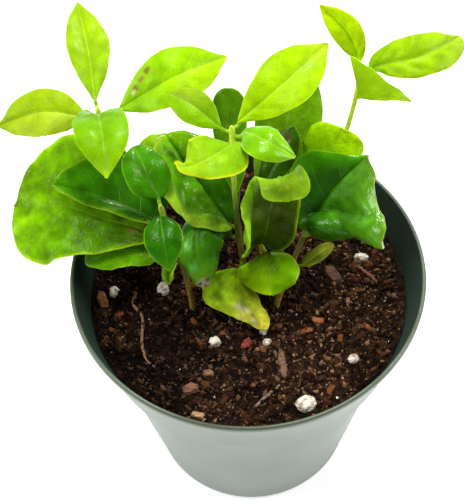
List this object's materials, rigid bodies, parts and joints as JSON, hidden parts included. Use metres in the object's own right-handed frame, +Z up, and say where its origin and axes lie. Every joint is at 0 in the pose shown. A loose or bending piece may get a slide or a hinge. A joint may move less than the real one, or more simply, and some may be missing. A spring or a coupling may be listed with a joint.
{
  "type": "potted coffee plant",
  "caption": "Young coffee seedlings with broad glossy leaves on thin stems, crowded in a small tapered round nursery pot with a collared rim, filled with dark peat and perlite mix.",
  "frame": {"origin": "middle of the pot's flat underside", "axes": "+Z up along the pot's axis; the plant is usually seen from -Y, with +X to the right"},
  "size_m": [0.127, 0.1131, 0.1507],
  "materials": {
    "pot_plastic": "satin",
    "peat_mix": "matte",
    "perlite": "matte",
    "bark": "matte",
    "dry_root": "matte",
    "stem": "satin",
    "young_leaf": "satin",
    "mature_leaf": "satin",
    "dark_leaf": "satin",
    "yellowing_leaf": "matte"
  },
  "bodies": {
    "root": {"pot": "pot_plastic", "soil": "peat_mix", "perlite_left": "perlite", "perlite_middle": "perlite", "perlite_right": "perlite", "perlite_pair_a": "perlite", "perlite_pair_b": "perlite", "perlite_east": "perlite", "perlite_front": "perlite", "pebble_tan": "perlite", "bark_orange": "bark", "bark_brown_left": "bark", "bark_red": "bark", "bark_brown_right": "bark", "bark_strip": "bark", "bark_tan": "bark", "bark_small": "bark", "root_tan": "dry_root", "twig_red": "dry_root", "twig_grey": "dry_root", "stem_a": "stem", "stem_b": "stem", "stem_c": "stem", "stem_d": "stem", "stem_s": "stem", "leaf_a_rear": "young_leaf", "leaf_a_left": "young_leaf", "leaf_a_front": "young_leaf", "leaf_a_right": "young_leaf", "leaf_b_left": "young_leaf", "leaf_b_big": "young_leaf", "leaf_b_right": "young_leaf", "leaf_b_front": "young_leaf", "leaf_c_rear": "young_leaf", "leaf_c_right": "young_leaf", "leaf_c_front": "young_leaf", "leaf_s_rear": "dark_leaf", "leaf_s_front": "dark_leaf", "leaf_s_rolled": "mature_leaf", "seed_leaf_a": "mature_leaf", "seed_leaf_b_left": "dark_leaf", "seed_leaf_b_front": "dark_leaf", "seed_leaf_b_rear": "dark_leaf", "seed_leaf_c_front": "mature_leaf", "seed_leaf_c_rear": "mature_leaf", "seed_leaf_d_curled": "mature_leaf", "seed_leaf_d_front": "mature_leaf", "seed_leaf_d_rear": "mature_leaf", "seed_leaf_d_side": "dark_leaf", "seed_leaf_s_large": "mature_leaf", "seed_leaf_s_folded": "dark_leaf", "seed_leaf_s_low": "mature_leaf", "old_leaf_b": "yellowing_leaf", "old_leaf_c": "yellowing_leaf"}
  },
  "joints": []
}
